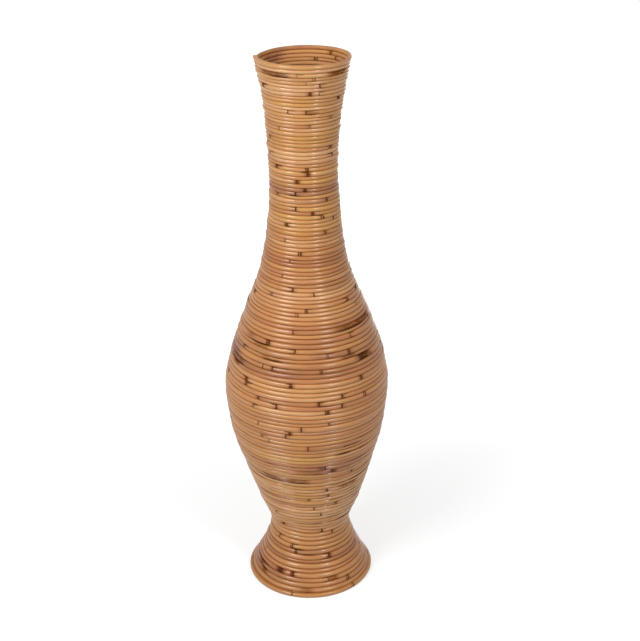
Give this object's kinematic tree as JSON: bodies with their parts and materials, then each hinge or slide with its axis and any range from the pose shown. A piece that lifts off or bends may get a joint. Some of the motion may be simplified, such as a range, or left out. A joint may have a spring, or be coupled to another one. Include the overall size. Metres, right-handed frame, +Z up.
{
  "type": "rattan floor vase",
  "caption": "Tall floor vase with flared foot, narrow waist, full belly and long flared neck, wound from round cane over a light inner frame.",
  "frame": {"origin": "centre of the foot, on the floor", "axes": "+Z up along the vase's axis, -Y towards the picture's viewer"},
  "size_m": [0.295, 0.295, 1],
  "materials": {
    "cane_foot": "round rattan cane, brown, satin varnish",
    "cane_lower": "round rattan cane, honey brown, satin varnish",
    "cane_belly": "round rattan cane, honey, satin varnish",
    "cane_neck": "round rattan cane, honey, satin varnish",
    "cane_rim": "round rattan cane, golden, satin varnish",
    "split_cane": "split cane, raw",
    "plywood": "plywood, raw"
  },
  "bodies": {
    "root": {"foot_hoop": "cane_foot", "rim_hoop": "cane_rim", "wound_cane_01": "cane_lower", "wound_cane_02": "cane_lower", "wound_cane_03": "cane_lower", "wound_cane_04": "cane_lower", "wound_cane_05": "cane_lower", "wound_cane_06": "cane_lower", "wound_cane_07": "cane_belly", "wound_cane_08": "cane_belly", "wound_cane_09": "cane_belly", "wound_cane_10": "cane_belly", "wound_cane_11": "cane_belly", "wound_cane_12": "cane_belly", "wound_cane_13": "cane_belly", "wound_cane_14": "cane_neck", "wound_cane_15": "cane_neck", "wound_cane_16": "cane_neck", "wound_cane_17": "cane_neck", "wound_cane_18": "cane_neck", "wound_cane_19": "cane_neck", "wound_cane_20": "cane_neck", "upright_1": "split_cane", "upright_2": "split_cane", "upright_3": "split_cane", "upright_4": "split_cane", "upright_5": "split_cane", "throat_hoop": "split_cane", "neck_hoop": "split_cane", "shoulder_hoop": "split_cane", "belly_hoop": "split_cane", "lower_belly_hoop": "split_cane", "foot_board": "plywood"}
  },
  "joints": []
}
